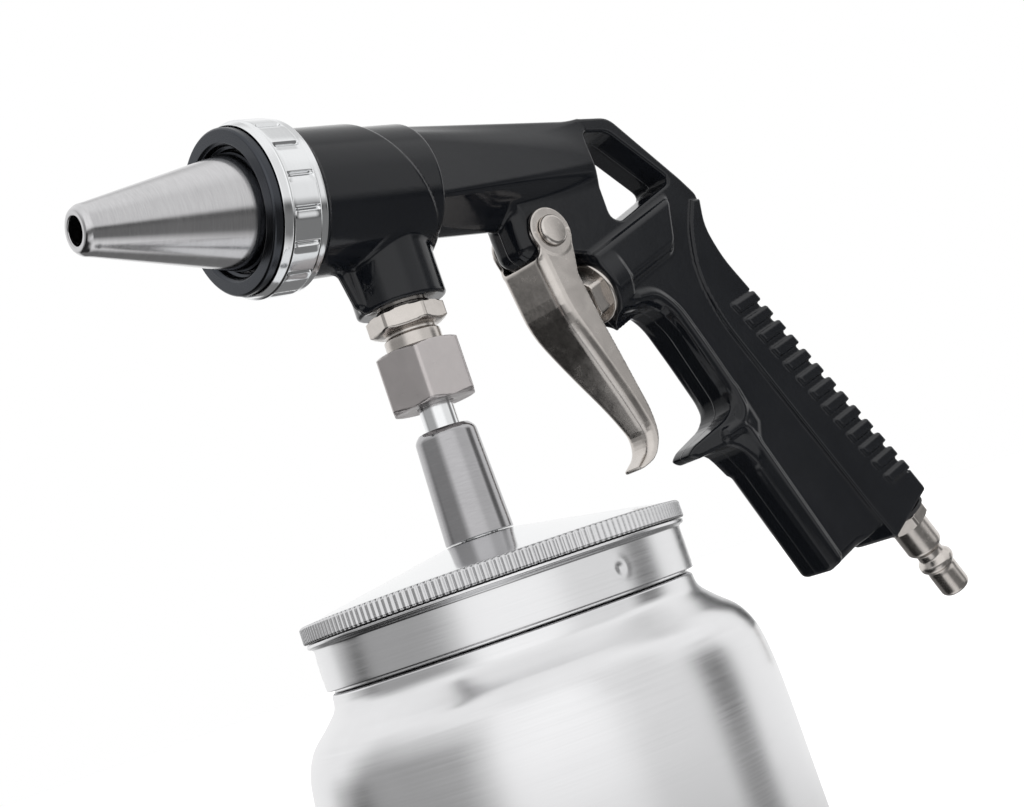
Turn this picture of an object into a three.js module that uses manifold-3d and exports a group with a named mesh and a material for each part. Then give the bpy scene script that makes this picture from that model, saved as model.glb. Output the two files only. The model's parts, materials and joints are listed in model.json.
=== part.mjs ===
// Suction-feed abrasive blasting gun with a screw-on aluminium cup.
// Millimetres. z = 0 is the cup's flat base, the cup's axis is z, the nozzle points to -x
// and the handle runs down to +x.
import * as THREE from 'three'
import { ConvexGeometry } from 'three/addons/geometries/ConvexGeometry.js'
import { mergeVertices } from 'three/addons/utils/BufferGeometryUtils.js'
import Module from 'manifold-3d'

const wasm = await Module()
wasm.setup()

// ---------------------------------------------------------------- driving dimensions
const GAP = 0.3                 // clearance between touching pieces
const RIM_TOP = 130             // upper edge of the lid's knurled rim
const BARREL_Z = RIM_TOP + 103  // height of the barrel axis
const VALVE_TILT = 20           // valve axis above the horizontal, degrees
const INLET_TILT = 27           // air inlet axis away from the vertical, degrees

const CUP = { radius: 61.5, wall: 1.6, floor: 2, corner: 12, neck: 47.6, mouth: 123.3 }
const LID = { rimRadius: 51.5, rimHeight: 4.5, teeth: 90, coneSlope: 0.18, coneRadius: 49, sheet: 2 }
const COLLAR = { outer: 49.5, inner: 48, bottom: RIM_TOP - 17.4, lip: 50.9 }
const STEM = { top: RIM_TOP + 37.3, topRadius: 8.35, bottomRadius: 9.24 }
const UNION = { acrossFlats: 22, bottom: RIM_TOP + 44, top: RIM_TOP + 59.7 }
const NIPPLE = { acrossFlats: 19, hexBottom: RIM_TOP + 65, hexTop: RIM_TOP + 70.2, neck: 7.7 }
const BOSS = { radius: 12.4, bottom: RIM_TOP + 71.4 }
const BARREL = { radius: 19.5, collar: 18.4, front: 27.3, collarEnd: 12.9, thread: 17.2, face: 33 }
const NOZZLE = { tip: 84.3, tipRadius: 6.3, baseRadius: 15, flange: 17, bore: 3.6 }
const NUT = { back: 27.6, front: 40.3, radius: 22.6, pads: 16 }
const RING = { front: 42.9, radius: 21.1, bore: 15.5 }
const PIN = { x: 51.6, z: 213.4, radius: 2.3 }
const TRIGGER = { halfWidth: 9.6, sheet: 1.5, ear: 7.3 }
const PLATE = 7.7               // half thickness of the casting's plain web
const BAND = 8.8                // half thickness of the ribbed back of the grip
const RIB = { count: 13, pitch: 6.3, first: 3.4, width: 4, length: 11.8, lean: 0.33, height: 0.9 }
const VALVE_FACE = { x: 65.6, z: 195.3 }
const INLET_SEAT = { x: 165.4, z: 106.7 }
const PASSAGE = 3.2             // radius of the drilled air passages
const SUCTION = 5               // radius of the abrasive passage

// ---------------------------------------------------------------- materials
function finish(color, roughness, metalness) {
  return new THREE.MeshStandardMaterial({ color, roughness, metalness })
}
const enamel = finish(0x0b0c0e, 0.22, 0)
const spunAluminium = finish(0xc4c6c8, 0.35, 1)
const polishedAluminium = finish(0xd8dadc, 0.15, 1)
const turnedSteel = finish(0x9a9a98, 0.3, 1)
const blackSteel = finish(0x3a4045, 0.35, 0.9)
const nickel = finish(0xb8b0a6, 0.25, 1)
const brass = finish(0xb59a4e, 0.3, 1)
const rubber = finish(0x17171a, 0.8, 0)
const clearTube = finish(0xb9bab2, 0.4, 0)

// ---------------------------------------------------------------- solids and booleans
// Triangles of one closed body, without repeated corners and facing outwards.
function closedMesh(geometry) {
  const plain = geometry.clone()
  plain.deleteAttribute('normal')
  plain.deleteAttribute('uv')
  const merged = mergeVertices(plain, 1e-4)
  const corners = merged.attributes.position
  const [a, b, c] = [new THREE.Vector3(), new THREE.Vector3(), new THREE.Vector3()]
  const faces = []
  let volume = 0
  for (let i = 0; i < merged.index.count; i += 3) {
    const face = [0, 1, 2].map((k) => merged.index.getX(i + k))
    if (new Set(face).size < 3) continue
    faces.push(face)
    a.fromBufferAttribute(corners, face[0])
    b.fromBufferAttribute(corners, face[1])
    c.fromBufferAttribute(corners, face[2])
    volume += a.dot(b.cross(c))
  }
  if (volume < 0) faces.forEach((face) => face.reverse())
  return { positions: new Float32Array(corners.array), triangles: new Uint32Array(faces.flat()) }
}

function toManifold(geometry) {
  const { positions, triangles } = closedMesh(geometry)
  return new wasm.Manifold(new wasm.Mesh({ numProp: 3, vertProperties: positions, triVerts: triangles }))
}

function toGeometry(positions, triangles) {
  const geometry = new THREE.BufferGeometry()
  geometry.setAttribute('position', new THREE.BufferAttribute(new Float32Array(positions), 3))
  geometry.setIndex(new THREE.BufferAttribute(new Uint32Array(triangles), 1))
  return geometry
}

function fromManifold(manifold) {
  const mesh = manifold.getMesh()
  return toGeometry(mesh.vertProperties, mesh.triVerts)
}

function join(...geometries) {
  return fromManifold(geometries.map(toManifold).reduce((a, b) => a.add(b)))
}

function cut(geometry, ...tools) {
  return fromManifold(tools.map(toManifold).reduce((a, b) => a.subtract(b), toManifold(geometry)))
}

function common(a, b) {
  return fromManifold(toManifold(a).intersect(toManifold(b)))
}

// ---------------------------------------------------------------- shapes
const radians = THREE.MathUtils.degToRad

// A closed outline whose corners [x, y, radius] are rounded where a radius is given.
function roundedShape(corners) {
  const shape = new THREE.Shape()
  corners.forEach((corner, i) => {
    const here = new THREE.Vector2(corner[0], corner[1])
    const before = corners[(i + corners.length - 1) % corners.length]
    const after = corners[(i + 1) % corners.length]
    const back = new THREE.Vector2(before[0], before[1]).sub(here)
    const ahead = new THREE.Vector2(after[0], after[1]).sub(here)
    const reach = Math.min(corner[2] ?? 0, back.length() * 0.48, ahead.length() * 0.48)
    const start = here.clone().addScaledVector(back.normalize(), reach)
    const end = here.clone().addScaledVector(ahead.normalize(), reach)
    if (i === 0) shape.moveTo(start.x, start.y)
    else shape.lineTo(start.x, start.y)
    if (reach > 0) shape.quadraticCurveTo(here.x, here.y, end.x, end.y)
  })
  shape.closePath()
  return shape
}

// A side outline in (x, z), given its thickness along y.
function slab(corners, halfWidth) {
  const geometry = new THREE.ExtrudeGeometry(roundedShape(corners), {
    depth: 2 * halfWidth,
    bevelEnabled: false,
    curveSegments: 4,
  })
  return geometry.translate(0, 0, -halfWidth).rotateX(Math.PI / 2)
}

// A solid of revolution about z, from [radius, z] pairs.
function turned(profile, segments = 32) {
  const points = profile.map(([r, z]) => new THREE.Vector2(r, z))
  const open = profile[0][0] === 0 && profile[profile.length - 1][0] === 0
  if (!open) points.push(points[0].clone())
  return new THREE.LatheGeometry(points, segments).rotateX(Math.PI / 2)
}

// A ring or tube about z.
function sleeve(inner, outer, low, high, segments = 32) {
  return turned([[inner, low], [outer, low], [outer, high], [inner, high]], segments)
}

function rod(radius, low, high, segments = 32) {
  return turned([[0, low], [radius, low], [radius, high], [0, high]], segments)
}

// A hexagonal prism about z, with one corner facing -y.
function hexagon(acrossFlats, low, high) {
  const corner = acrossFlats / Math.sqrt(3)
  const prism = new THREE.CylinderGeometry(corner, corner, high - low, 6)
  return prism.rotateX(Math.PI / 2).translate(0, 0, (low + high) / 2)
}

// Turns a shape made about z so that its z runs along a direction from an origin.
function along(geometry, origin, direction) {
  const turn = new THREE.Quaternion().setFromUnitVectors(new THREE.Vector3(0, 0, 1), direction)
  return geometry.applyQuaternion(turn).translate(origin.x, origin.y, origin.z)
}

// The barrel's own z is the distance from the cup's axis towards the nozzle's tip.
const towardTip = new THREE.Vector3(-1, 0, 0)
const barrelOrigin = new THREE.Vector3(0, 0, BARREL_Z)
const onBarrel = (geometry) => along(geometry, barrelOrigin, towardTip)

// The valve's own z runs from its gland face into the casting.
const valveTilt = radians(VALVE_TILT)
const intoValve = new THREE.Vector3(Math.cos(valveTilt), 0, Math.sin(valveTilt))
const valveOrigin = new THREE.Vector3(VALVE_FACE.x, 0, VALVE_FACE.z)
const onValve = (geometry) => along(geometry, valveOrigin, intoValve)
const valvePoint = (depth, height = 0) => [
  VALVE_FACE.x + depth * Math.cos(valveTilt) - height * Math.sin(valveTilt),
  VALVE_FACE.z + depth * Math.sin(valveTilt) + height * Math.cos(valveTilt),
]

// The inlet's own z runs out of the grip, down and back.
const inletTilt = radians(INLET_TILT)
const outOfInlet = new THREE.Vector3(Math.sin(inletTilt), 0, -Math.cos(inletTilt))
const inletOrigin = new THREE.Vector3(INLET_SEAT.x, 0, INLET_SEAT.z)
const onInlet = (geometry) => along(geometry, inletOrigin, outOfInlet)

// A drilled passage between two points [x, z] of the middle plane.
function passage(from, to, radius) {
  const start = new THREE.Vector3(from[0], 0, from[1])
  const way = new THREE.Vector3(to[0], 0, to[1]).sub(start)
  return along(rod(radius, 0, way.length(), 16), start, way.clone().normalize())
}

// ---------------------------------------------------------------- the assembly
const group = new THREE.Group()
function add(name, geometry, material) {
  const { positions, triangles } = closedMesh(geometry)
  const mesh = new THREE.Mesh(toGeometry(positions, triangles), material)
  mesh.geometry.computeVertexNormals()
  mesh.name = name
  group.add(mesh)
}

// ---------------------------------------------------------------- cup
// The cup's outer line from the foot of the neck down over the shoulder, as [radius, z].
const shoulder = [[48.7, 111], [48.9, 108], [52.6, 104], [57.4, 100], [60.2, 94], [61.2, 86], [CUP.radius, 76]]
function cup() {
  const corner = []
  for (let i = 0; i <= 4; i++) {
    const angle = (i / 4) * Math.PI / 2
    corner.push([
      CUP.radius - CUP.corner * (1 - Math.cos(angle)),
      CUP.corner * (1 - Math.sin(angle)),
    ])
  }
  const outside = [[CUP.neck, CUP.mouth], [CUP.neck, 111.8], ...shoulder, ...corner]
  const inside = outside.map(([r, z]) => [r - CUP.wall, Math.max(z, CUP.floor)])
  inside[0] = [CUP.neck - CUP.wall, CUP.mouth]
  const inner = inside.filter(([, z], i) => i < shoulder.length + 3 || z > CUP.floor)
  const line = [[0, 0], ...outside.reverse(), ...inner, [0, CUP.floor]]
  return turned(line, 40)
}
add('cup', cup(), spunAluminium)

// ---------------------------------------------------------------- lid
function coneHeight(r) {
  return RIM_TOP + 0.2 + LID.coneSlope * (LID.coneRadius - r)
}

const hubTop = coneHeight(STEM.bottomRadius)

function knurledRim() {
  const shape = new THREE.Shape()
  for (let i = 0; i < 2 * LID.teeth; i++) {
    const angle = (i / LID.teeth) * Math.PI
    const r = LID.rimRadius - (i % 2 ? 0.7 : 0)
    if (i === 0) shape.moveTo(r * Math.cos(angle), r * Math.sin(angle))
    else shape.lineTo(r * Math.cos(angle), r * Math.sin(angle))
  }
  shape.closePath()
  const rim = new THREE.ExtrudeGeometry(shape, { depth: LID.rimHeight, bevelEnabled: false })
  return rim.translate(0, 0, RIM_TOP - LID.rimHeight)
}

function lid() {
  const bore = 5
  const line = [
    [bore, hubTop],
    [STEM.bottomRadius, hubTop],
    [LID.coneRadius, coneHeight(LID.coneRadius)],
    [LID.coneRadius, RIM_TOP - 1],
    [47.6, RIM_TOP - 2],
    [STEM.bottomRadius, hubTop - LID.sheet],
    [bore, hubTop - LID.sheet],
  ]
  const ring = cut(knurledRim(), rod(47.4, RIM_TOP - 10, RIM_TOP + 5, 40))
  return join(turned(line, 40), ring)
}
add('lid', lid(), polishedAluminium)

const rimBottom = RIM_TOP - LID.rimHeight
add('lid_collar', turned([
  [COLLAR.inner, COLLAR.bottom],
  [COLLAR.outer, COLLAR.bottom],
  [COLLAR.outer, rimBottom - 1.8],
  [COLLAR.lip, rimBottom - 1.2],
  [COLLAR.lip, rimBottom - GAP],
  [COLLAR.inner, rimBottom - GAP],
], 40), spunAluminium)
add('lid_gasket', sleeve(44.6, 47.7, CUP.mouth + GAP, rimBottom - GAP, 32), rubber)

// ---------------------------------------------------------------- stem and pipe
const pipeRadius = 4.7
const pipeBore = 3.2
const pipeEnd = RIM_TOP - 8
add('stem', turned([
  [pipeRadius + GAP, hubTop + GAP],
  [STEM.bottomRadius, hubTop + GAP],
  [STEM.topRadius, STEM.top - 1.4],
  [STEM.topRadius - 1.4, STEM.top],
  [pipeRadius + GAP, STEM.top],
]), turnedSteel)

const lipTop = UNION.bottom + 3
const flangeTop = lipTop + GAP + 3
add('stem_pipe', turned([
  [pipeBore, pipeEnd],
  [pipeRadius, pipeEnd],
  [pipeRadius, lipTop + GAP],
  [NIPPLE.neck - 0.1, lipTop + GAP],
  [NIPPLE.neck - 0.1, flangeTop],
  [pipeBore, flangeTop],
], 24), turnedSteel)

const washerTop = hubTop - LID.sheet - GAP
add('pipe_washer', sleeve(pipeRadius + GAP, 9, washerTop - 1.2, washerTop), turnedSteel)
const lockNutTop = washerTop - 1.2 - GAP
add('pipe_locknut', cut(
  hexagon(17, lockNutTop - 5, lockNutTop),
  rod(pipeRadius + GAP, lockNutTop - 6, lockNutTop + 1),
), turnedSteel)

function pickupTube() {
  const bottom = 14
  const tube = sleeve(pipeRadius + GAP, 6.4, bottom, lockNutTop - 5 - GAP, 24)
  const slant = new THREE.BoxGeometry(40, 40, 20).rotateY(radians(35)).translate(-7, 0, bottom - 6)
  return cut(tube, slant)
}
add('pickup_tube', pickupTube(), clearTube)

// ---------------------------------------------------------------- union and nipple
add('union_nut', cut(
  common(hexagon(UNION.acrossFlats, UNION.bottom, UNION.top).rotateZ(radians(22)), turned([
    [0, UNION.bottom],
    [11.2, UNION.bottom],
    [12.8, UNION.bottom + 1.1],
    [12.8, UNION.top - 1.1],
    [11.2, UNION.top],
    [0, UNION.top],
  ])),
  rod(pipeRadius + GAP, UNION.bottom - 1, UNION.top),
  rod(NIPPLE.neck + GAP, lipTop, UNION.top + 1),
), nickel)

const nippleThreadTop = BOSS.bottom + 10
add('suction_nipple', cut(
  join(
    rod(NIPPLE.neck, flangeTop + GAP, NIPPLE.hexBottom + 0.5),
    common(hexagon(NIPPLE.acrossFlats, NIPPLE.hexBottom, NIPPLE.hexTop).rotateZ(radians(-9)), turned([
      [0, NIPPLE.hexBottom],
      [9.7, NIPPLE.hexBottom],
      [11.2, NIPPLE.hexBottom + 1],
      [11.2, NIPPLE.hexTop],
      [0, NIPPLE.hexTop],
    ])),
    rod(6.7, NIPPLE.hexTop - 0.5, nippleThreadTop, 24),
  ),
  rod(4.5, flangeTop, nippleThreadTop + 1, 24),
), nickel)

// ---------------------------------------------------------------- casting
// The diagonal shoulder: the front sleeve ends in a plane that leans back towards the bottom.
function frontSleeve() {
  const long = rod(BARREL.radius, -16, BARREL.front)
  const lean = 0.466  // how far the plane comes forward for each unit of height
  const behind = new THREE.BoxGeometry(40, 60, 80).translate(20, 0, 0)
  behind.rotateY(-Math.atan(lean)).translate(4.4, 0, BARREL_Z)
  return cut(onBarrel(long), behind)
}

function arm() {
  const corners = []
  const sections = [
    [BARREL.collarEnd - 6, [[7, 249.8], [13.2, 245], [16.6, 226.2], [2, 218.8]]],
    [79.5, [[6.6, 246.7], [8.4, 240], [9, 230.4], [2, 217]]],
  ]
  for (const [x, ring] of sections) {
    for (const [y, z] of ring) {
      corners.push(new THREE.Vector3(x, y, z), new THREE.Vector3(x, -y, z))
    }
  }
  return new ConvexGeometry(corners)
}

// Side outline of the web that carries the hanging eye, the knuckle, the valve and the grip.
const webOutline = [
  [41.2, 240], [41.2, 217], [42.4, 207.6, 1.5], [44.5, 206.9], [58, 206.9, 3], valvePoint(2.1, 10.4),
  valvePoint(2.1, -9), [76, 187.6, 4], [86, 187.4, 6], [92.3, 179, 3], [100.3, 157, 2], [101.5, 149],
  [99.3, 140], [118.6, 96.2, 2], [147.8, 104.6], [150.7, 99.3], [172.3, 110.2, 1], [167.5, 118.9],
  [124.5, 186.5], [117.8, 197.4, 5], [114.8, 208, 4], [117.6, 218.6, 2], [112.6, 224.6, 2],
  [91.4, 246.4, 3], [79, 246.9],
]
const bandOutline = [
  [113.2, 217], [108.2, 208.5, 5], [104.2, 194, 12], [107.6, 178.5, 10], [143.6, 109.4],
  [148.9, 100], [150.7, 99.3], [172.3, 110.2, 1], [167.5, 118.9], [124.5, 186.5],
  [117.8, 197.4, 5], [114.8, 208, 4], [117, 217],
]
const eyeOutline = [[78.8, 242, 2], [88.8, 241.4, 2], [107.6, 224.4, 3], [82, 214.4, 3], [78.8, 216, 2]]

// The gripping ribs: bars across the back of the grip that slant a little up both of its sides.
const gripTop = [124.5, 186.5]
const gripEnd = [167.5, 118.9]
const gripAlong = new THREE.Vector2(gripEnd[0] - gripTop[0], gripEnd[1] - gripTop[1]).normalize()

// The place that is so far along the back of the grip and so far in from it.
function gripPoint(along, inward) {
  return [
    gripTop[0] + along * gripAlong.x + inward * gripAlong.y,
    gripTop[1] + along * gripAlong.y - inward * gripAlong.x,
  ]
}

// A bar or a gap across the back of the grip: its place along the back, its width, and where it starts
// and ends measured in from the back.
function across(along, width, start, end, half) {
  const corner = (side, inward) => gripPoint(along + side * width / 2 - RIB.lean * inward, inward)
  return slab([corner(-1, start), corner(1, start), corner(1, end), corner(-1, end)], half)
}

const ribPlaces = Array.from({ length: RIB.count }, (_, i) => RIB.first + i * RIB.pitch)
const ribs = ribPlaces.map((along) => across(along, RIB.width, -0.3, RIB.length, BAND + RIB.height))
const ribGaps = ribPlaces.map((along) => across(along - RIB.pitch / 2, RIB.pitch - RIB.width - GAP, -1, 2, 15))

function valveBlock() {
  const ring = [[6, 11.4], [10, 8.4], [10, -2.4], [PLATE, -5]]
  const corners = []
  for (const [y, height] of ring) {
    const back = height > 5 ? 44 : 36
    for (const depth of [2.1, back]) {
      const [x, z] = valvePoint(depth, height)
      corners.push(new THREE.Vector3(x, y, z), new THREE.Vector3(x, -y, z))
    }
  }
  return new ConvexGeometry(corners)
}

const fingerRest = [
  [102, 156], [97, 149, 5], [80.2, 144, 1], [78.7, 142, 1], [81, 140.2, 1], [97, 142.4, 3], [101, 136], [108, 146],
]

function gunBody() {
  const solid = join(
    frontSleeve(),
    onBarrel(rod(20.3, 25.3, 27)),
    onBarrel(rod(BARREL.thread, 20, BARREL.face)),
    onBarrel(rod(BARREL.collar, -BARREL.collarEnd, 10)),
    turned([[0, BOSS.bottom], [BOSS.radius - 0.8, BOSS.bottom], [BOSS.radius, BOSS.bottom + 0.8],
      [BOSS.radius, BARREL_Z - 4], [0, BARREL_Z - 4]]),
    arm(),
    slab(webOutline, PLATE),
    slab(bandOutline, BAND),
    valveBlock(),
    slab(fingerRest, 5.4),
    ...ribs,
  )
  const chamberEnd = valvePoint(33)
  return cut(
    solid,
    slab(eyeOutline, 20),
    ...ribGaps,
    onBarrel(rod(9, -9.1, BARREL.face + 1)),
    onBarrel(rod(5, -18, 0, 24)),
    rod(SUCTION, BOSS.bottom + 5, BARREL_Z, 24),
    rod(7, BOSS.bottom - 1, nippleThreadTop + 1, 24),
    passage([10, BARREL_Z], [72, BARREL_Z], PASSAGE),
    passage([72, BARREL_Z + PASSAGE - 0.2], [72, 198], PASSAGE),
    onValve(rod(7, 2, 12.5, 24)),
    onValve(rod(6, 10, 36, 24)),
    onInlet(rod(6.5, -12, 8, 24)),
    passage([INLET_SEAT.x - 4.5, INLET_SEAT.z + 9], chamberEnd, PASSAGE),
    rod(PIN.radius + GAP, -20, 20, 20).rotateX(Math.PI / 2).translate(PIN.x, 0, PIN.z),
  )
}
add('gun_body', gunBody(), enamel)

// ---------------------------------------------------------------- nozzle
add('nozzle_seal', onBarrel(sleeve(12, 16.6, BARREL.face + GAP, BARREL.face + GAP + 1.4)), rubber)
const flangeBack = BARREL.face + 2 * GAP + 1.4
const flangeFront = flangeBack + 2
add('nozzle', onBarrel(turned([
  [NOZZLE.bore, NOZZLE.tip],
  [NOZZLE.tipRadius - 1.2, NOZZLE.tip],
  [NOZZLE.tipRadius, NOZZLE.tip - 1.6],
  [NOZZLE.baseRadius, flangeFront + 4],
  [NOZZLE.baseRadius, flangeFront],
  [NOZZLE.flange, flangeFront],
  [NOZZLE.flange, flangeBack],
  [8.6, flangeBack],
  [8.6, 22],
  [7.6, 22],
  [NOZZLE.bore, 46],
], 32)), turnedSteel)

const lipBack = flangeFront + GAP
add('nozzle_ring', onBarrel(turned([
  [RING.bore, lipBack],
  [RING.radius, lipBack],
  [RING.radius, RING.front - 0.5],
  [RING.radius - 0.5, RING.front],
  [RING.bore + 1.6, RING.front],
  [RING.bore + 1.2, RING.front - 1.6],
  [RING.bore, RING.front - 2],
], 32)), blackSteel)

function nozzleNut() {
  const body = turned([
    [BARREL.thread + 0.4, NUT.back],
    [NUT.radius - 0.8, NUT.back],
    [NUT.radius, NUT.back + 0.6],
    [NUT.radius, NUT.front - 2.4],
    [NUT.radius - 1, NUT.front],
    [RING.radius + GAP, NUT.front],
    [RING.radius + GAP, lipBack - GAP],
    [BARREL.thread + 0.4, lipBack - GAP],
  ], 32)
  const grooves = []
  for (let i = 0; i < NUT.pads; i++) {
    const groove = new THREE.BoxGeometry(2, 1.2, 7).translate(NUT.radius + 0.5, 0, (NUT.back + NUT.front) / 2)
    grooves.push(groove.rotateZ((i / NUT.pads) * 2 * Math.PI))
  }
  return onBarrel(cut(body, ...grooves))
}
add('nozzle_nut', nozzleNut(), polishedAluminium)

// ---------------------------------------------------------------- air jet
const jetWall = -9.1
add('air_jet_seal', onBarrel(sleeve(5, 6.4, jetWall + GAP, jetWall + 1.3, 24)), rubber)
const jetBack = jetWall + 1.3 + GAP
add('air_jet', onBarrel(cut(
  join(
    turned([[0, jetBack], [6.5, jetBack], [6.5, jetBack + 4], [4.8, jetBack + 4], [2.4, 17], [0, 17]], 24),
    rod(4.7, -16.5, jetBack + 1, 24),
  ),
  rod(1.6, -10, 18, 16),
  rod(3, -17, 0, 16),
)), brass)

// ---------------------------------------------------------------- trigger
// Its front edge runs from the top of the web down to the curl, its back edge up again.
const triggerEdge = [[44, 206, 1], [46.6, 189, 6], [54, 174.8, 8], [61.6, 161, 5], [65.6, 152, 4], [64.4, 147, 3]]
const triggerOutline = [
  [PIN.x - 7, PIN.z], [PIN.x - 6, PIN.z - 4.6, 2], ...triggerEdge, [59.2, 143.4, 0.5], [60, 142.3, 0.5],
  [66, 144.4, 4], [70, 150.4, 4], [69.4, 158, 5], [62.6, 176, 8], [58.6, 187, 6], [56.2, 200], [57.6, 207],
  [PIN.x + 7, PIN.z],
]

// Front view of the trigger, as half widths at heights, made a little narrower for its inside.
function triggerFront(inset) {
  const steps = [[222, 9.6], [188, 9.6], [174, 7.2], [160, 6], [140, 4.4]]
  const right = steps.map(([z, y]) => [y - inset, z])
  const left = steps.map(([z, y]) => [inset - y, z]).reverse()
  const panel = new THREE.ExtrudeGeometry(roundedShape([...right, ...left]), { depth: 80, bevelEnabled: false })
  return panel.rotateX(Math.PI / 2).rotateZ(Math.PI / 2).translate(20, 0, 0)
}

function trigger() {
  const ears = rod(TRIGGER.ear, -TRIGGER.halfWidth, TRIGGER.halfWidth, 28).rotateX(Math.PI / 2)
  const outer = join(
    common(slab(triggerOutline, TRIGGER.halfWidth), triggerFront(0)),
    ears.translate(PIN.x, 0, PIN.z),
  )
  const innerEdge = triggerEdge.map(([x, z, r]) => [x + TRIGGER.sheet, z + TRIGGER.sheet / 2, r])
  const hollow = slab([[40, 224], [40, 206.8], ...innerEdge, [80, 146], [80, 224]], 20)
  const inside = common(hollow, triggerFront(TRIGGER.sheet))
  return cut(
    outer,
    inside,
    rod(PIN.radius + GAP, -20, 20, 20).rotateX(Math.PI / 2).translate(PIN.x, 0, PIN.z),
  )
}
add('trigger', trigger(), nickel)

const pinOut = TRIGGER.halfWidth + GAP
const onPin = (geometry) => geometry.rotateX(Math.PI / 2).translate(PIN.x, 0, PIN.z)
add('trigger_pin', onPin(turned([
  [0, pinOut + 1.4],
  [4.3, pinOut + 1.4],
  [4.7, pinOut + 1],
  [4.7, pinOut],
  [PIN.radius, pinOut],
  [PIN.radius, -pinOut - 2],
  [0, -pinOut - 2],
], 28)), nickel)
add('pin_clip', onPin(sleeve(PIN.radius + GAP, 4.4, -pinOut - 0.8, -pinOut, 24)), turnedSteel)

// ---------------------------------------------------------------- air valve
const glandFront = -5.4
add('valve_gland', onValve(cut(
  join(
    common(hexagon(15, glandFront, 0.2).rotateZ(radians(15)), turned([
      [0, glandFront], [7.6, glandFront], [8.7, glandFront + 0.8], [8.7, 0.2], [0, 0.2],
    ])),
    rod(9.7, 0, 1.8),
    rod(6.7, 1.6, 10, 24),
  ),
  rod(2.3, -10, 12, 16),
)), nickel)
add('valve_seat', onValve(sleeve(2.4, 6.6, 10 + GAP, 12.2, 24)), rubber)
const poppetFront = 12.6
const poppetBack = 15
const stemFront = -16
add('valve_stem', onValve(turned([
  [0, stemFront], [1.4, stemFront], [2, stemFront + 0.7], [2, poppetFront - GAP], [1.2, poppetFront - GAP],
  [1.2, poppetBack + 1.5], [0, poppetBack + 1.5],
], 16)), turnedSteel)
add('valve_poppet', onValve(turned([
  [1.5, poppetFront], [4.2, poppetFront], [5, poppetFront + 0.8], [5, poppetBack], [1.5, poppetBack],
], 24)), brass)

class SpringLine extends THREE.Curve {
  constructor(radius, start, length, turns) {
    super()
    Object.assign(this, { radius, start, length, turns })
  }

  getPoint(t, target = new THREE.Vector3()) {
    const angle = t * this.turns * 2 * Math.PI
    return target.set(
      this.radius * Math.cos(angle),
      this.radius * Math.sin(angle),
      this.start + t * this.length,
    )
  }
}

function spring() {
  const wire = new THREE.Shape()
  wire.absarc(0, 0, 0.45, 0, 2 * Math.PI)
  const line = new SpringLine(4, poppetBack + 0.8, 14, 6)
  return new THREE.ExtrudeGeometry(wire, { extrudePath: line, steps: 60, curveSegments: 3, bevelEnabled: false })
}
add('valve_spring', onValve(spring()), turnedSteel)

// ---------------------------------------------------------------- air inlet
add('inlet_washer', onInlet(sleeve(6.8, 8.6, GAP, 1.5, 28)), rubber)
const inletHex = 1.5 + GAP
add('air_plug', onInlet(cut(
  join(
    rod(6.2, -11, inletHex + 0.5, 24),
    hexagon(14, inletHex, inletHex + 4),
    turned([
      [0, inletHex + 3.5], [6.2, inletHex + 3.5], [6.2, 15.5], [5.6, 16.4], [4.5, 17.2], [4.5, 19.6],
      [5.2, 20.2], [6, 20.8], [6, 23.4], [4.9, 24.6], [5, 26.4], [5, 33], [4.2, 34], [0, 34],
    ], 28),
  ),
  rod(3.5, -12, 35, 20),
)), nickel)

export default group
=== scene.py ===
"""Visual model of a suction feed abrasive blasting gun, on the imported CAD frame.

Shapes are worked out in millimetres in the shared frame and scaled to metres as they are made.
"""
import json
import math

import bmesh
import bpy
import numpy as np
from mathutils import Matrix, Vector


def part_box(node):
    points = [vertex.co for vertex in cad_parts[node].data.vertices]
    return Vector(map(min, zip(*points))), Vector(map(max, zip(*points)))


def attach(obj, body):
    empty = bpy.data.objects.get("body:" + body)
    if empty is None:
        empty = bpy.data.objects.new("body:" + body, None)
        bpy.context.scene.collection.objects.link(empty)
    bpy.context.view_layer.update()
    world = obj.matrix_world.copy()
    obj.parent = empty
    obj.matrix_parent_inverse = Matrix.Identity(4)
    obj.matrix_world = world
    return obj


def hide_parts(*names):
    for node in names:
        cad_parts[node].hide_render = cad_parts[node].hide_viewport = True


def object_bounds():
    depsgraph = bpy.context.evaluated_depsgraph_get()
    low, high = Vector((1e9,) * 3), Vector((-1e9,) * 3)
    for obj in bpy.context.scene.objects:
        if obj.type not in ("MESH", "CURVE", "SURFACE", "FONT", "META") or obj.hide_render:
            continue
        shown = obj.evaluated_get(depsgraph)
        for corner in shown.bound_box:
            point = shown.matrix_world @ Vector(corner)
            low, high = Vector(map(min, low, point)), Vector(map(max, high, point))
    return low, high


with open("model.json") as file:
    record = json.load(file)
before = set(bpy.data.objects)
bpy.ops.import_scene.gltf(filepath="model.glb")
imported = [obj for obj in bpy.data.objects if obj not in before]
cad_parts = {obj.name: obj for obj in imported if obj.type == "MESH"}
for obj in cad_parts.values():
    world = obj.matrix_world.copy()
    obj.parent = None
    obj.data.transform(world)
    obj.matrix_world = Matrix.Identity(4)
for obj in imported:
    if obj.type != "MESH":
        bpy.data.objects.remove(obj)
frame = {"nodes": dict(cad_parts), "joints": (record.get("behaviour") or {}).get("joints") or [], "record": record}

cad_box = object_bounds()
MM = 0.001


def joint(name):
    return next(j for j in frame["joints"] if j["name"] == name)


def middle(node):
    low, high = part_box(node)
    return (low + high) / 2 / MM


def top_of(node):
    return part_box(node)[1].z / MM


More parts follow.
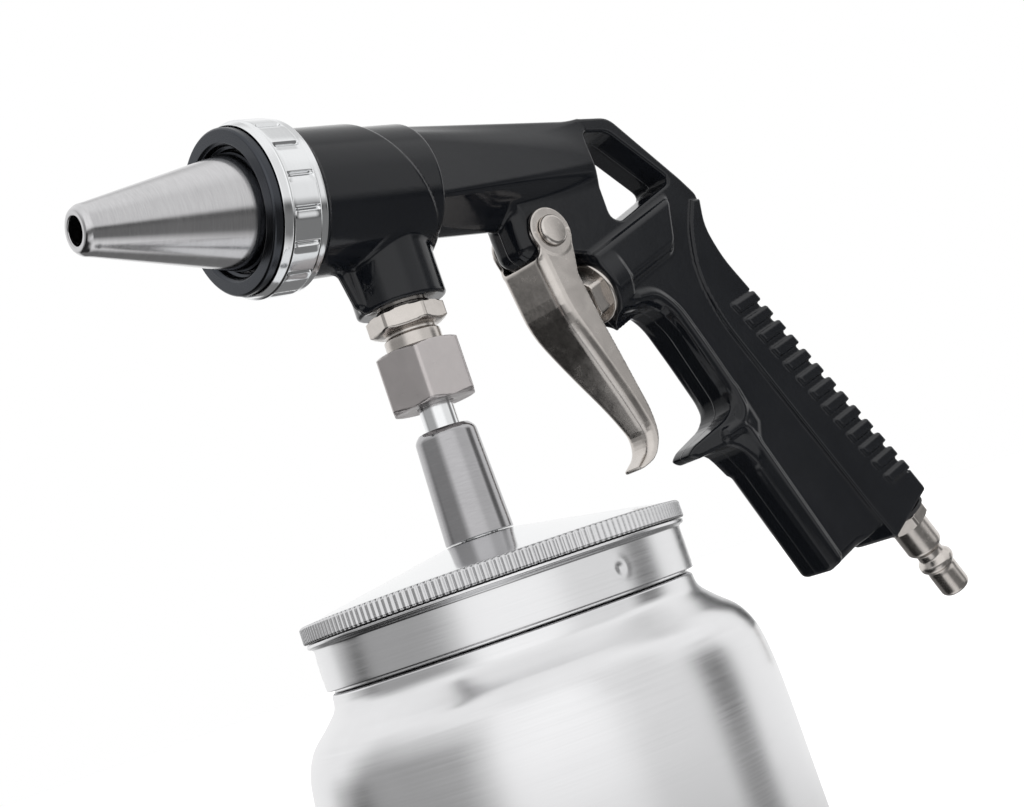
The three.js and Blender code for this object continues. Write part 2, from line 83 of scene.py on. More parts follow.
# ---------------------------------------------------------------- driving dimensions, mm
BARREL_Z = middle("nozzle").z
RIM_TOP = top_of("lid_collar") + 4.8
RIM_LOW = RIM_TOP - 4.5
STEM_TOP = RIM_TOP + 37.3
PIN_X, _, PIN_Z = Vector(joint("trigger_pull")["pos_m"]) / MM
VALVE_AXIS = Vector(joint("valve_stroke")["axis"])
INLET_AXIS = Vector(next(m for m in frame["record"]["mounts"] if m["name"] == "air_inlet")["axis"])
VALVE_FACE = Vector((65.6, 0, 195.3))
INLET_SEAT = Vector((165.4, 0, 106.7))
PLATE = 7.7     # half thickness of the casting's web
BAND = 8.8      # half thickness of the ribbed back of the grip
BARREL = 19.5   # radius of the casting's barrel
BOSS = 12.4     # radius of the boss that the suction line screws into
PIN_HOLE = 2.6  # radius of the trigger pin's hole
RIBS = 13
RIB_PITCH, FIRST_RIB, RIB_WIDTH, RIB_LENGTH = 6.3, 3.4, 4.0, 11.8
RIB_HEIGHT = 0.9
RIB_LEAN = 0.33     # how far a rib slants up the grip for each unit inwards
GRIP_TOP = (124.5, 186.5)
GRIP_END = (167.5, 118.9)
GRIP_HEEL = (172.3, 110.2)
GRIP_TOE = (150.7, 99.3)


# ---------------------------------------------------------------- placing shapes
def placed(origin, direction):
    """Matrix that turns local z to a direction and moves to an origin in millimetres."""
    turn = Vector(direction).to_track_quat("Z", "Y").to_matrix().to_4x4()
    return Matrix.Translation(Vector(origin) * MM) @ turn


UPRIGHT = Matrix.Identity(4)
ON_BARREL = placed((0, 0, BARREL_Z), (-1, 0, 0))
ON_VALVE = placed(VALVE_FACE, VALVE_AXIS)
ON_INLET = placed(INLET_SEAT, INLET_AXIS)
ON_PIN = placed((PIN_X, 0, PIN_Z), (0, -1, 0))


def make_piece(name, points, faces, matrix, material, body, nodes):
    """A mesh piece from points in millimetres, riding on a body and standing for CAD nodes."""
    mesh = bpy.data.meshes.new(name)
    mesh.from_pydata((np.asarray(points) * MM).tolist(), [], faces)
    mesh.shade_smooth()
    mesh.materials.append(material)
    piece = bpy.data.objects.new(name, mesh)
    bpy.context.scene.collection.objects.link(piece)
    piece.matrix_world = matrix
    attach(piece, body)
    if nodes:
        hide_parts(*nodes)
    return piece


# ---------------------------------------------------------------- turned pieces
def rounded(corners, closed, steps=3, small=0.25):
    """Corners [u, v, radius] as points, each corner rounded by its radius or by a small one."""
    points = []
    count = len(corners)
    for i, corner in enumerate(corners):
        here = np.array(corner[:2], float)
        if not closed and i in (0, count - 1):
            points.append(here)
            continue
        back = np.array(corners[i - 1][:2], float) - here
        ahead = np.array(corners[(i + 1) % count][:2], float) - here
        radius = corner[2] if len(corner) > 2 else small
        reach = min(radius, 0.45 * np.hypot(*back), 0.45 * np.hypot(*ahead))
        start = here + back / np.hypot(*back) * reach
        end = here + ahead / np.hypot(*ahead) * reach
        for share in np.linspace(0, 1, steps + 1):
            points.append((1 - share) ** 2 * start + 2 * share * (1 - share) * here + share**2 * end)
    return np.array(points)


def divided(points, longest):
    """Extra points along the straight stretches that are longer than a limit."""
    result = [points[0]]
    for a, b in zip(points, points[1:]):
        parts = max(1, math.ceil(np.hypot(*(b - a)) / longest))
        result += [a + (b - a) * k / parts for k in range(1, parts + 1)]
    return np.array(result)


def turned(name, profile, place, look, body, nodes=(), segments=128, shape=None, longest=50, small=0.25):
    """A solid of revolution from (radius, height) corners. shape may change a radius by angle and height."""
    solid_core = profile[0][0] == 0 and profile[-1][0] == 0
    line = rounded(profile, not solid_core, small=small)
    if not solid_core:
        line = np.vstack([line, line[:1]])
    line = divided(line, longest)
    if not solid_core:
        line = line[:-1]
    angles = np.linspace(0, 2 * math.pi, segments, endpoint=False)
    radius = np.repeat(line[:, :1], segments, axis=1)
    height = np.repeat(line[:, 1:], segments, axis=1)
    if shape:
        radius = shape(radius, angles[None, :], height)
    points = np.stack([radius * np.cos(angles), radius * np.sin(angles), height], axis=2).reshape(-1, 3)
    rows = len(line)
    faces = []
    for row in range(rows - 1 if solid_core else rows):
        low = row * segments
        high = (row + 1) % rows * segments
        for k in range(segments):
            after = (k + 1) % segments
            faces.append((low + k, low + after, high + after, high + k))
    material, slot = look
    piece = make_piece(name, points, faces, place, material, body, nodes)
    tidy_mesh(piece)
    return piece


def tidy_mesh(piece):
    """Merges repeated points, turns faces outwards and keeps flat faces flat in shading."""
    work = bmesh.new()
    work.from_mesh(piece.data)
    bmesh.ops.remove_doubles(work, verts=work.verts, dist=1e-7)
    bmesh.ops.recalc_face_normals(work, faces=work.faces)
    work.to_mesh(piece.data)
    work.free()
    piece.modifiers.new("flat faces stay flat", "WEIGHTED_NORMAL").weight = 60


def hexagon(across_flats, turn=0.0, edge=0.25):
    """Radius of a hexagon with softened corners, as a function of the angle."""
    def radius(angle):
        corner = (angle - turn + math.pi / 6) % (math.pi / 3) - math.pi / 6
        flat = across_flats / 2 / np.cos(corner)
        return np.minimum(flat, across_flats / math.sqrt(3) - edge)
    return radius


# ---------------------------------------------------------------- distance fields
# A field takes x, y and z in millimetres and gives the distance to a surface, negative inside.
def union(a, b, soft=0.01):
    near = np.maximum(soft - np.abs(a - b), 0) / soft
    return np.minimum(a, b) - near * near * soft / 4


def common(a, b, soft=0.01):
    return -union(-a, -b, soft)


def without(a, b, soft=0.01):
    return common(a, -b, soft)


def outline_field(u, v, corners):
    """Distance to a closed outline in a plane."""
    inside = np.zeros(np.broadcast(u, v).shape, bool)
    nearest = np.full(inside.shape, 1e9, np.asarray(u).dtype)
    for (ax, ay), (bx, by) in zip(corners, np.roll(corners, -1, axis=0)):
        ex, ey = bx - ax, by - ay
        wx, wy = u - ax, v - ay
        share = np.clip((wx * ex + wy * ey) / (ex * ex + ey * ey), 0, 1)
        nearest = np.minimum(nearest, (wx - ex * share) ** 2 + (wy - ey * share) ** 2)
        above, crossing = v >= ay, v < by
        left = ex * wy > ey * wx
        inside ^= (above & crossing & left) | ~(above | crossing | left)
    return np.where(inside, -1, 1) * np.sqrt(nearest)


def path_field(u, v, points):
    """Distance to an open line of points in a plane."""
    nearest = 1e9
    for (ax, ay), (bx, by) in zip(points, points[1:]):
        ex, ey = bx - ax, by - ay
        share = np.clip(((u - ax) * ex + (v - ay) * ey) / (ex * ex + ey * ey), 0, 1)
        nearest = np.minimum(nearest, (u - ax - ex * share) ** 2 + (v - ay - ey * share) ** 2)
    return np.sqrt(nearest)


def thick(flat, across, half, edge):
    """A flat field given a half thickness, with rounded edges."""
    a = flat + edge
    b = np.abs(across) - half + edge
    return np.sqrt(np.maximum(a, 0) ** 2 + np.maximum(b, 0) ** 2) + np.minimum(np.maximum(a, b), 0) - edge


def drum(distance, position, radius, low, high, edge=0.4):
    return thick(distance - radius, position - (low + high) / 2, (high - low) / 2, edge)


def smooth_step(value, start, end):
    share = np.clip((value - start) / (end - start), 0, 1)
    return share * share * (3 - 2 * share)


def gradient(field, points, reach=0.04):
    total = np.zeros_like(points)
    for signs in ((1, 1, 1), (1, -1, -1), (-1, 1, -1), (-1, -1, 1)):
        way = np.array(signs, float)
        total += way * field(*(points + way * reach).T)[:, None]
    return total / np.linalg.norm(total, axis=1, keepdims=True)


CORNERS = np.array([[i, j, k] for i in (0, 1) for j in (0, 1) for k in (0, 1)])


def net_points(value, cells):
    """One point in each cell that the surface crosses: the mean of its edges' crossings."""
    at_corner = [value[tuple((cells + corner).T)] for corner in CORNERS]
    total = np.zeros(cells.shape)
    hits = np.zeros(len(cells))
    for a in range(8):
        for b in range(a + 1, 8):
            if np.abs(CORNERS[a] - CORNERS[b]).sum() != 1:
                continue
            crossing = (at_corner[a] < 0) != (at_corner[b] < 0)
            change = np.where(crossing, at_corner[a] - at_corner[b], 1)
            share = at_corner[a] / change
            total += crossing[:, None] * (CORNERS[a] + share[:, None] * (CORNERS[b] - CORNERS[a]))
            hits += crossing
    return cells + total / hits[:, None]


def net_faces(inside, number):
    """A face across each grid edge that leaves the solid, through the four cells round it."""
    faces = []
    for k in range(3):
        here = np.take(inside, range(inside.shape[k] - 1), axis=k)
        ahead = np.take(inside, range(1, inside.shape[k]), axis=k)
        edges = np.argwhere(here != ahead)
        leaving = inside[tuple(edges.T)]
        i, j = np.eye(3, dtype=int)[(k + 1) % 3], np.eye(3, dtype=int)[(k + 2) % 3]
        ring = [number[tuple((edges - shift).T)] for shift in (0 * i, i, i + j, j)]
        quads = np.stack(ring, axis=1)
        quads[~leaving] = quads[~leaving][:, ::-1]
        faces.append(quads)
    return np.vstack(faces)


def field_surface(field, low, high, step):
    """Points and faces of a field's surface, with the points moved exactly onto it."""
    axes = [np.arange(a, b + step, step, dtype=np.float32) for a, b in zip(low, high)]
    value = field(axes[0][:, None, None], axes[1][None, :, None], axes[2][None, None, :])
    inside = value < 0
    crossed = np.zeros([n - 1 for n in inside.shape], np.uint8)
    for i, j, k in CORNERS:
        crossed += inside[i:inside.shape[0] - 1 + i, j:inside.shape[1] - 1 + j, k:inside.shape[2] - 1 + k]
    cells = np.argwhere((crossed > 0) & (crossed < 8))
    number = np.full(crossed.shape, -1, np.int64)
    number[tuple(cells.T)] = np.arange(len(cells))
    points = np.array(low) + step * net_points(value, cells)
    for _ in range(2):
        points -= np.clip(field(*points.T), -step, step)[:, None] * gradient(field, points)
    return points, net_faces(inside, number)


def field_piece(name, field, low, high, step, keep, look, body, nodes):
    """A piece from a field, thinned where it is flat and shaded with the field's own normals."""
    points, faces = field_surface(field, low, high, step)
    material, slot = look
    piece = make_piece(name, points, faces.tolist(), UPRIGHT, material, body, nodes)
    piece.modifiers.new("thin", "DECIMATE").ratio = keep
    shown = piece.evaluated_get(bpy.context.evaluated_depsgraph_get())
    thinned = bpy.data.meshes.new_from_object(shown)
    piece.modifiers.clear()
    piece.data = thinned
    at = np.zeros(len(thinned.vertices) * 3, np.float64)
    thinned.vertices.foreach_get("co", at)
    normals = gradient(field, at.reshape(-1, 3) / MM)
    thinned.shade_smooth()
    thinned.normals_split_custom_set_from_vertices(normals.tolist())
    return piece


# ---------------------------------------------------------------- materials
def new_material(name):
    material = bpy.data.materials.new(name)
    material.use_nodes = True
    return material, material.node_tree, material.node_tree.nodes["Principled BSDF"]


def add_node(tree, kind, inputs=None, **settings):
    node = tree.nodes.new(kind)
    for key, value in settings.items():
        setattr(node, key, value)
    for key, value in (inputs or {}).items():
        if isinstance(value, bpy.types.NodeSocket):
            tree.links.new(value, node.inputs[key])
        else:
            node.inputs[key].default_value = value
    return node


def noise(tree, vector, scale, detail=3.0, roughness=0.5, distortion=0.0):
    values = {"Vector": vector, "Scale": scale, "Detail": detail, "Roughness": roughness,
              "Distortion": distortion}
    return add_node(tree, "ShaderNodeTexNoise", values).outputs["Fac"]


def spread(tree, value, low, high, start=0.3, end=0.7):
    values = {"Value": value, "From Min": start, "From Max": end, "To Min": low, "To Max": high}
    return add_node(tree, "ShaderNodeMapRange", values).outputs["Result"]


def bump(tree, height, distance, strength=1.0, below=None):
    values = {"Height": height, "Distance": distance, "Strength": strength}
    if below:
        values["Normal"] = below
    return add_node(tree, "ShaderNodeBump", values).outputs["Normal"]


def object_place(tree):
    return add_node(tree, "ShaderNodeTexCoord").outputs["Object"]


def maths(tree, operation, a, b=0.0):
    return add_node(tree, "ShaderNodeMath", {0: a, 1: b}, operation=operation).outputs[0]


def round_lines(tree, around, across):
    """A vector that changes slowly round the local z axis and fast across it, for turning lines."""
    parts = add_node(tree, "ShaderNodeSeparateXYZ", {0: object_place(tree)}).outputs
    square = maths(tree, "ADD", maths(tree, "MULTIPLY", parts[0], parts[0]),
                   maths(tree, "MULTIPLY", parts[1], parts[1]))
    radius = maths(tree, "SQRT", maths(tree, "ADD", square, 1e-9))
    x = maths(tree, "MULTIPLY", maths(tree, "DIVIDE", parts[0], radius), around)
    y = maths(tree, "MULTIPLY", maths(tree, "DIVIDE", parts[1], radius), around)
    z = maths(tree, "MULTIPLY", maths(tree, "ADD", parts[2], radius), across)
    return add_node(tree, "ShaderNodeCombineXYZ", {0: x, 1: y, 2: z}).outputs[0]


def turned_metal(name, colour, rough, across=4000, around=2.0, bumps=2e-6, spots=0.05, stretch=0.0):
    """Metal with lines left round its axis by a lathe or a brush, and a faint cloudiness."""
    material, tree, shader = new_material(name)
    lines = noise(tree, round_lines(tree, around, across), 1.0, 4.0, 0.6)
    clouds = noise(tree, object_place(tree), 90.0, 4.0)
    tone = maths(tree, "ADD", maths(tree, "MULTIPLY", lines, 0.6), maths(tree, "MULTIPLY", clouds, 0.4))
    dark = [c * (1 - spots * 3) for c in colour] + [1]
    mix = {"Factor": spread(tree, tone, 0, 1), 6: dark, 7: list(colour) + [1]}
    base = add_node(tree, "ShaderNodeMix", mix, data_type="RGBA").outputs[2]
    tree.links.new(base, shader.inputs["Base Color"])
    tree.links.new(spread(tree, tone, rough * 0.8, rough * 1.3), shader.inputs["Roughness"])
    tree.links.new(bump(tree, lines, bumps), shader.inputs["Normal"])
    shader.inputs["Metallic"].default_value = 1.0
    if stretch:
        shader.inputs["Anisotropic"].default_value = stretch
        tangent = add_node(tree, "ShaderNodeTangent", direction_type="RADIAL", axis="Z").outputs[0]
        tree.links.new(tangent, shader.inputs["Tangent"])
    return material


def plated(name, colour, rough, grain=(900, 900, 900), wear=0.15, bumps=3e-6):
    """Plated or ground metal: soft cloudiness, faint grain along one way, and small scuffs."""
    material, tree, shader = new_material(name)
    place = object_place(tree)
    stretched = add_node(tree, "ShaderNodeMapping", {"Vector": place, "Scale": grain}).outputs[0]
    marks = noise(tree, stretched, 1.0, 5.0, 0.65)
    clouds = noise(tree, place, 160.0, 3.0, 0.5, 0.6)
    dark = [c * (1 - wear) for c in colour] + [1]
    mix = {"Factor": spread(tree, clouds, 0, 1), 6: dark, 7: list(colour) + [1]}
    base = add_node(tree, "ShaderNodeMix", mix, data_type="RGBA").outputs[2]
    tree.links.new(base, shader.inputs["Base Color"])
    tone = maths(tree, "ADD", maths(tree, "MULTIPLY", marks, 0.5), maths(tree, "MULTIPLY", clouds, 0.5))
    tree.links.new(spread(tree, tone, rough * 0.7, rough * 1.4), shader.inputs["Roughness"])
    tree.links.new(bump(tree, marks, bumps), shader.inputs["Normal"])
    shader.inputs["Metallic"].default_value = 1.0
    return material


def black_enamel():
    """Gloss enamel on a die casting: orange peel, slow waves, fine specks and the die's parting line."""
    material, tree, shader = new_material("black enamel")
    place = object_place(tree)
    peel = noise(tree, place, 700.0, 2.0, 0.5, 0.4)
    waves = noise(tree, place, 170.0, 2.0, 0.5, 0.8)
    across = add_node(tree, "ShaderNodeSeparateXYZ", {0: place}).outputs[1]
    ridge = spread(tree, maths(tree, "ABSOLUTE", across), 1, 0, 0.0001, 0.0003)
    lower = bump(tree, waves, 2.0e-5)
    middle_bump = bump(tree, peel, 1.6e-5, below=lower)
    tree.links.new(bump(tree, ridge, 8e-5, below=middle_bump), shader.inputs["Normal"])
    patches = noise(tree, place, 60.0, 4.0)
    tree.links.new(spread(tree, patches, 0.06, 0.16), shader.inputs["Roughness"])
    tint = {"Factor": patches, 6: (0.003, 0.0035, 0.005, 1), 7: (0.006, 0.007, 0.009, 1)}
    base = add_node(tree, "ShaderNodeMix", tint, data_type="RGBA").outputs[2]
    tree.links.new(base, shader.inputs["Base Color"])
    shader.inputs["Specular IOR Level"].default_value = 0.38
    return material


def soft_plastic(name, colour, rough, clear=0.0):
    material, tree, shader = new_material(name)
    grain = noise(tree, object_place(tree), 800.0, 3.0)
    tree.links.new(spread(tree, grain, rough * 0.85, rough * 1.15), shader.inputs["Roughness"])
    tree.links.new(bump(tree, grain, 1e-5), shader.inputs["Normal"])
    mix = {"Factor": grain, 6: [c * 0.85 for c in colour] + [1], 7: list(colour) + [1]}
    base = add_node(tree, "ShaderNodeMix", mix, data_type="RGBA").outputs[2]
    tree.links.new(base, shader.inputs["Base Color"])
    shader.inputs["Transmission Weight"].default_value = clear
    return material


ENAMEL = black_enamel(), "black_enamel"
SPUN = turned_metal("spun aluminium", (0.82, 0.82, 0.83), 0.2, 2600, 1.6, 2.5e-6, 0.03, 0.4), "spun_aluminium"
POLISHED = (turned_metal("polished aluminium", (0.86, 0.87, 0.88), 0.12, 3000, 2.0, 1e-6, 0.02),
            "polished_aluminium")
# The rim is the lid's aluminium with a darker colour: painted shade standing in for the shade and scattered
# reflections between the knurl's teeth.
RIM = turned_metal("knurled aluminium darkened as painted shade", (0.72, 0.72, 0.73), 0.22, 3000, 2.0, 1e-6, 0.04), "polished_aluminium"
STEEL = turned_metal("turned steel", (0.66, 0.655, 0.665), 0.15, 5000, 2.5, 2e-6, 0.06, 0.3), "turned_steel"
STEM = turned_metal("turned stem", (0.47, 0.465, 0.475), 0.13, 5000, 2.5, 2e-6, 0.06, 0.3), "turned_steel"
OXIDE = turned_metal("black oxide steel", (0.07, 0.075, 0.085), 0.24, 5000, 2.5, 2e-6, 0.05), "black_steel"
NICKEL = plated("nickel plate", (0.66, 0.62, 0.585), 0.22), "nickel"
GROUND = plated("ground nickel", (0.6, 0.565, 0.56), 0.34, (3500, 3500, 500), 0.1, 6e-6), "nickel"
BRASS = turned_metal("turned brass", (0.72, 0.56, 0.28), 0.25), "brass"
RUBBER = soft_plastic("black rubber", (0.02, 0.02, 0.022), 0.7), "black_rubber"
TUBE = soft_plastic("milky tube", (0.75, 0.76, 0.72), 0.3, 0.35), "tube_plastic"
BY_SLOT = {slot: material for material, slot in
           (ENAMEL, SPUN, POLISHED, STEEL, OXIDE, NICKEL, BRASS, RUBBER, TUBE)}
for part in frame["record"]["subparts"]:
    slots = frame["nodes"][part["node"]].data.materials
    for index in range(len(slots)):
        slots[index] = BY_SLOT[part["material_slot"]]


# ---------------------------------------------------------------- casting
def valve_xy(x, z):
    """Depth and height of a place in the valve's own directions."""
    cos, sin = VALVE_AXIS.x, VALVE_AXIS.z
    back, up = x - VALVE_FACE.x, z - VALVE_FACE.z
    return back * cos + up * sin, up * cos - back * sin


def valve_point(depth, height):
    cos, sin = VALVE_AXIS.x, VALVE_AXIS.z
    return [VALVE_FACE.x + depth * cos - height * sin, VALVE_FACE.z + depth * sin + height * cos]


WEB = rounded([
    [41.2, 240], [41.2, 217, 1], [41.6, 209.5, 3], [44.5, 206.9, 1], [58, 206.9, 3], valve_point(2.1, 10.4),
    valve_point(2.1, -9), [76, 187.6, 4], [86, 187.4, 6], [92.3, 179, 3], [100.3, 157, 2], [101.5, 149, 3],
    [99.8, 140, 2], [118.6, 96.2, 2], [147.8, 104.6], GRIP_TOE, [*GRIP_HEEL, 1], GRIP_END,
    GRIP_TOP, [117.8, 197.4, 5], [114.8, 208, 4], [117.6, 218.6, 2], [112.6, 224.6, 2],
    [91.4, 246.4, 3], [79, 246.9],
], True, 4)
BAND_SIDE = rounded([
    [113.2, 217], [108.2, 208.5, 5], [104.2, 194, 12], [107.6, 178.5, 10], [143.6, 109.4],
    [148.9, 100], GRIP_TOE, [*GRIP_HEEL, 1], GRIP_END, GRIP_TOP,
    [117.8, 197.4, 5], [114.8, 208, 4], [117, 217],
], True, 4)
EYE_DRAFT = 0.09    # how far the eye's walls lean out for each unit away from the middle
EYE = rounded([[78.8, 242, 2], [88.8, 241.4, 2], [107.6, 224.4, 3], [82, 214.4, 3], [78.8, 216, 2]], True, 4)
REST = rounded([
    [104, 158], [98.6, 150, 7], [82, 144.4, 3], [79, 142.2, 1.5], [82, 140.4, 2], [96, 142.2, 5], [103, 134],
    [108, 146],
], True, 4)
GUSSET = rounded([[-19, 216], [-16.5, 213, 2], [-14.4, 203, 1], [-11, 202], [-8, 216]], True, 4)
UPPER_BEAD = rounded([
    [78, 190.4], [85, 190.8, 5], [91.4, 185, 6], [96.6, 173, 4], [102.8, 157.5, 4], [104.2, 151, 3],
    [101.4, 147.2, 2], [94, 145.2],
], False, 4)
LOWER_BEAD = rounded([[94, 144.6], [101.8, 146.4, 3], [105.6, 138.5, 3], [121.3, 99.6]], False, 4)
BEFORE_ARM, AFTER_ARM = 6.9, 79.5
ARM_SECTIONS = [    # half width and height of the corners, before and after
    [(7, 249.8), (13.2, 245), (16.6, 225.2), (2, 219.5)],
    [(6.6, 246.7), (8.4, 240), (9, 230.4), (2, 217)],
]
DIAGONAL = 0.466    # lean of the edge across the barrel, backwards for each unit down


def arm_field(x, side, z):
    """The tapering arm, as the faces of one half of its section."""
    share = (np.clip(x, BEFORE_ARM, AFTER_ARM) - BEFORE_ARM) / (AFTER_ARM - BEFORE_ARM)
    corners = [((1 - share) * a[0] + share * b[0], (1 - share) * a[1] + share * b[1])
               for a, b in zip(*ARM_SECTIONS)]
    faces = [z - corners[0][1]]
    for (ay, az), (by, bz) in zip(corners, corners[1:]):
        length = np.hypot(by - ay, bz - az)
        faces.append(((z - az) * (by - ay) - (side - ay) * (bz - az)) / length)
    faces += [corners[-1][1] - z, x - AFTER_ARM, BEFORE_ARM - 6 - x]
    solid = faces[0]
    for face in faces[1:]:
        solid = common(solid, face, 1.4)
    return solid


def valve_block_field(x, side, z):
    depth, height = valve_xy(x, z)
    solid = common(height - 11.4, side - 10, 0.6)
    solid = common(solid, ((side - 6) * 3 + (height - 11.4) * 4) / 5, 0.8)
    solid = common(solid, ((side - 10) * 2.6 - (height + 2.4) * 2.3) / 3.47, 0.8)
    solid = common(solid, ((depth - 43) * 10.8 - (height - 8.4) * 8) / 13.44, 2.4)
    solid = common(solid, 2.1 - depth, 0.8)
    from_axis = np.sqrt(side * side + height * height)
    return union(solid, drum(from_axis, depth, 10.7, 2.1, 9, 0.7), 2)


def grip_place(x, z):
    """How far a place is along the back of the grip, and how far in from it."""
    along = np.array(GRIP_END) - np.array(GRIP_TOP)
    ax, az = along / np.hypot(*along)
    return (x - GRIP_TOP[0]) * ax + (z - GRIP_TOP[1]) * az, (x - GRIP_TOP[0]) * az - (z - GRIP_TOP[1]) * ax


def ribs_field(x, y, z):
    """Rounded bars across the back of the grip, each slanting a little up both sides."""
    along, inward = grip_place(x, z)
    slanted = along + RIB_LEAN * inward - FIRST_RIB
    number = np.clip(np.round(slanted / RIB_PITCH), 0, RIBS - 1)
    corner = 0.7
    across = np.abs(slanted - number * RIB_PITCH) / math.hypot(1, RIB_LEAN) - RIB_WIDTH / 2 + corner
    lengthways = np.abs(inward - RIB_LENGTH / 2) - RIB_LENGTH / 2 + corner
    flat = (np.hypot(np.maximum(across, 0), np.maximum(lengthways, 0))
            + np.minimum(np.maximum(across, lengthways), 0) - corner)
    return thick(flat, y, BAND + RIB_HEIGHT, 1.3)


def rib_recess(x, z):
    """The shallow recess along the back of the grip, between and under the ribs."""
    along, inward = grip_place(x, z)
    middle_rib = RIBS * RIB_PITCH / 2
    return common(np.abs(along - middle_rib) - middle_rib + 0.6, inward - 1.9, 0.8)


def casting_bores(x, y, z, solid):
    """The passages and seats that other pieces sit in."""
    from_barrel = np.sqrt(y * y + (z - BARREL_Z) ** 2)
    from_stem = np.sqrt(x * x + y * y)
    depth, height = valve_xy(x, z)
    from_valve = np.sqrt(y * y + height * height)
    cos, sin = -INLET_AXIS.z, INLET_AXIS.x
    out = (x - INLET_SEAT.x) * sin - (z - INLET_SEAT.z) * cos
    from_inlet = np.sqrt(y * y + ((x - INLET_SEAT.x) * cos + (z - INLET_SEAT.z) * sin) ** 2)
    from_pin = np.sqrt((x - PIN_X) ** 2 + (z - PIN_Z) ** 2)
    bores = [
        drum(from_barrel, -x, 9, -9.1, 40), drum(from_barrel, -x, 5, -18, 0),
        drum(from_stem, z, 7, 190, 212), drum(from_stem, z, 5, 205, BARREL_Z),
        drum(from_valve, depth, 7, -1, 12.5), drum(from_valve, depth, 6, 10, 36),
        drum(from_inlet, out, 6.5, -12, 9), drum(from_pin, y, PIN_HOLE, -20, 20),
    ]
    for bore in bores:
        solid = without(solid, bore, 0.2)
    return solid


def barrel_field(x, y, z):
    """Sleeve with a slanting back edge, its front lip, the nut's thread, the collar and the boss below."""
    up = z - BARREL_Z
    from_barrel = np.sqrt(y * y + up * up)
    from_stem = np.sqrt(x * x + y * y)
    lean = (x - 4.4 + DIAGONAL * up) / math.hypot(1, DIAGONAL)
    sleeve = common(drum(from_barrel, -x, BARREL, -30, 27.3, 0.5), lean, 1.6)
    solid = union(sleeve, drum(from_barrel, -x, BARREL + 0.8, 25.3, 27, 0.8), 0.4)
    solid = union(solid, drum(from_barrel, -x, 17.2, 10, 33, 0.4), 0.1)
    solid = union(solid, drum(from_barrel, -x, 18.4, -12.9, 10, 1.1), 0.5)
    boss = drum(from_stem, z, BOSS, 201.4, BARREL_Z, 1.0)
    gusset = thick(outline_field(x, z, GUSSET), y, 1.6, 1.2)
    return union(solid, union(boss, gusset, 1.5), 1.6)


def web_field(x, y, z, eye):
    """The flat web with the grip's thicker back band, rounder over the finger's place and the knuckle."""
    across_grip = (x - 100) * 0.891 + (z - 150) * 0.454
    on_front = smooth_step(across_grip, 15, 7) * smooth_step(z, 196, 186)
    on_knuckle = smooth_step(x, 50, 44) * smooth_step(z, 226, 219)
    edge = 1.0 + 2.8 * on_front + 4.2 * on_knuckle
    web = thick(outline_field(x, z, WEB), y, PLATE, edge)
    band = thick(outline_field(x, z, BAND_SIDE), y, BAND, 0.8)
    return without(without(union(web, band, 0.5), rib_recess(x, z), 0.6), eye, 1.0)


def casting_field(x, y, z):
    side = np.abs(y)
    eye = outline_field(x, z, EYE) - np.maximum(side - 1, 0) * EYE_DRAFT
    front = without(union(barrel_field(x, y, z), arm_field(x, side, z), 0.6), eye, 0.8)
    solid = union(front, web_field(x, y, z, eye), 1.2)
    solid = union(solid, without(valve_block_field(x, side, z), eye, 0.8), 0.9)
    rest_half = np.clip(4.4 + (x - 79) * 0.15, 3.5, 7.4)
    solid = union(solid, thick(outline_field(x, z, REST), y, rest_half, 1.4), 2.5)
    for bead in (UPPER_BEAD, LOWER_BEAD):
        solid = union(solid, np.sqrt(path_field(x, z, bead) ** 2 + (side - 6.7) ** 2) - 1.6, 1.2)
    solid = union(solid, ribs_field(x, y, z), 0.5)
    return casting_bores(x, y, z, solid)


FINE = 0.55
field_piece("casting", casting_field, (-35.5, -23, 94), (174, 23, 255), FINE, 0.45, ENAMEL,
            "gun", ("gun_body",))


# ---------------------------------------------------------------- trigger
TRIGGER_FRONT = [[44, 206, 1], [46.6, 189, 6], [54, 174.8, 8], [61.6, 161, 5], [65.6, 152, 4], [64.4, 147, 3]]
TRIGGER_SIDE = rounded([
    [PIN_X - 7, PIN_Z], [PIN_X - 6, PIN_Z - 4.6, 2], *TRIGGER_FRONT, [59.2, 143.4, 0.5], [60, 142.3, 0.5],
    [66, 144.4, 4], [70, 150.4, 4], [69.4, 158, 5], [62.6, 176, 8], [58.6, 187, 6], [56.2, 200], [57.6, 207],
    [PIN_X + 7, PIN_Z],
], True, 4)
TRIGGER_SHEET = 1.5
TRIGGER_BEND = 3.4
TRIGGER_TIP, TRIGGER_TOP = 5.0, 9.6     # half widths at the curl and at the ears
EAR = 7.3


def trigger_field(x, y, z):
    half = TRIGGER_TIP + (TRIGGER_TOP - TRIGGER_TIP) * smooth_step(z, 146, 192)
    pressed = rounded([[39, 230], [39.5, 211, 4], *TRIGGER_FRONT, [59.2, 143.4, 0.5], [60, 141], [90, 141],
                       [90, 230]], True, 4)
    inner_edge = [[px + TRIGGER_SHEET, pz + TRIGGER_SHEET / 2, r] for px, pz, r in TRIGGER_FRONT]
    hollow = rounded([[40, 224], [40, 206.8], *inner_edge, [90, 145.6], [90, 224]], True, 4)
    outer = thick(outline_field(x, z, pressed), y, half, TRIGGER_BEND)
    outer = common(outer, outline_field(x, z, TRIGGER_SIDE), 0.5)
    from_pin = np.sqrt((x - PIN_X) ** 2 + (z - PIN_Z) ** 2)
    solid = union(outer, drum(from_pin, y, EAR, -TRIGGER_TOP, TRIGGER_TOP, 0.5), 0.6)
    inside = thick(outline_field(x, z, hollow), y, half - TRIGGER_SHEET, TRIGGER_BEND - TRIGGER_SHEET)
    return without(without(solid, inside, 0.35), drum(from_pin, y, PIN_HOLE, -20, 20), 0.2)


field_piece("trigger_lever", trigger_field, (40, -11, 138), (74, 11, 222), FINE * 0.7, 0.6, NICKEL,
            "trigger_lever", ("trigger",))

